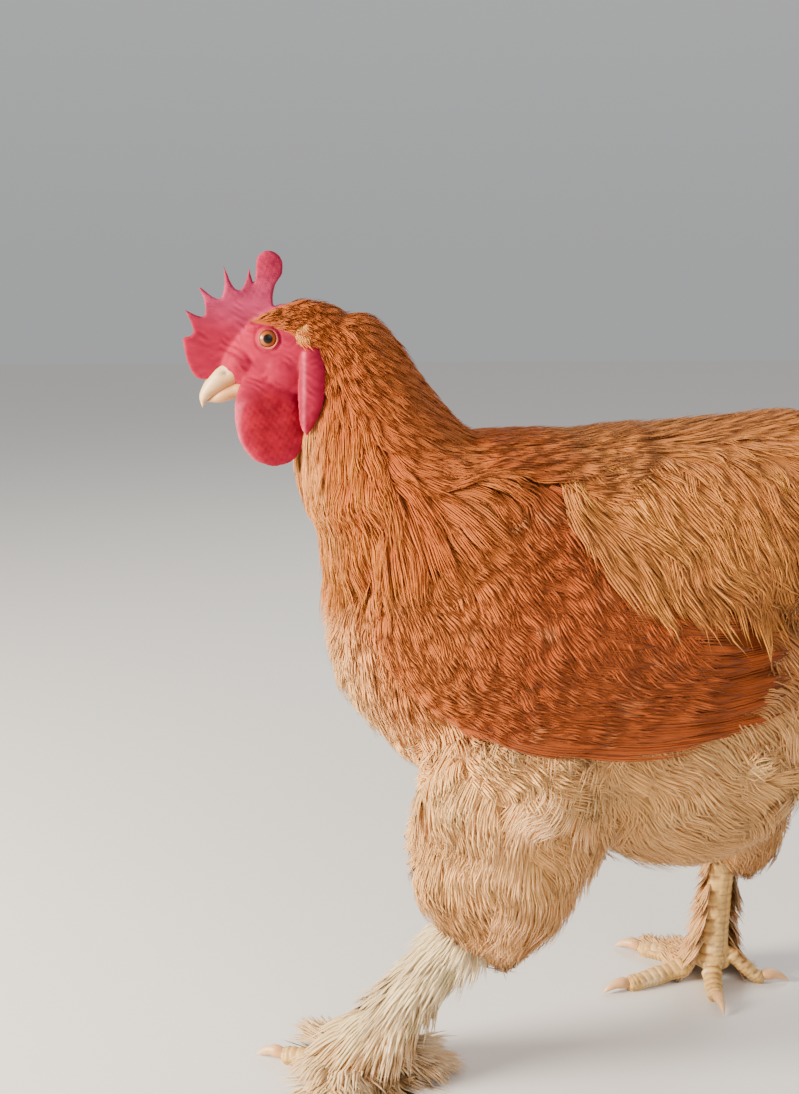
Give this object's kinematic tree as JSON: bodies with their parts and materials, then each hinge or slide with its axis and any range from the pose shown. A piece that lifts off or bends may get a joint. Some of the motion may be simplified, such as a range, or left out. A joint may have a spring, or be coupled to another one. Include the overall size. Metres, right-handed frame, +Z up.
{
  "type": "feather-legged buff rooster",
  "caption": "Life-size buff rooster walking, head raised, with a single comb, wattles, full hackle and saddle, folded wings, short tail and feathered feet.",
  "frame": {"origin": "on the floor, under the centre of the bird's box", "axes": "+Z up, the bird faces -Y, and its left side is at +X; the box is shortest along X, across the bird"},
  "size_m": [0.2386, 0.5112, 0.53],
  "materials": {
    "hackle_feather": "soft orange-gold feather",
    "saddle_feather": "soft golden buff feather",
    "wing_feather": "close red-orange feather",
    "tail_feather": "soft chestnut-buff feather",
    "breast_down": "soft buff feather",
    "pale_down": "loose cream-buff down",
    "red_skin": "waxy wrinkled skin",
    "beak_horn": "worn horn",
    "claw_horn": "worn horn",
    "eye": "wet amber",
    "leg_scale": "dry scaled skin"
  },
  "bodies": {
    "root": {"torso": "breast_down", "saddle": "saddle_feather", "neck": "hackle_feather", "head": "red_skin", "comb": "red_skin", "beak_upper": "beak_horn", "beak_lower": "beak_horn", "tail": "tail_feather", "wing_left": "wing_feather", "thigh_left": "pale_down", "eye_left": "eye", "earlobe_left": "red_skin", "wattle_left": "red_skin", "shank_left": "leg_scale", "toe_left_1": "leg_scale", "claw_left_1": "claw_horn", "toe_left_2": "leg_scale", "claw_left_2": "claw_horn", "toe_left_3": "leg_scale", "claw_left_3": "claw_horn", "toe_left_4": "leg_scale", "claw_left_4": "claw_horn", "wing_right": "wing_feather", "thigh_right": "pale_down", "eye_right": "eye", "earlobe_right": "red_skin", "wattle_right": "red_skin", "shank_right": "leg_scale", "toe_right_1": "leg_scale", "claw_right_1": "claw_horn", "toe_right_2": "leg_scale", "claw_right_2": "claw_horn", "toe_right_3": "leg_scale", "claw_right_3": "claw_horn", "toe_right_4": "leg_scale", "claw_right_4": "claw_horn"}
  },
  "joints": []
}
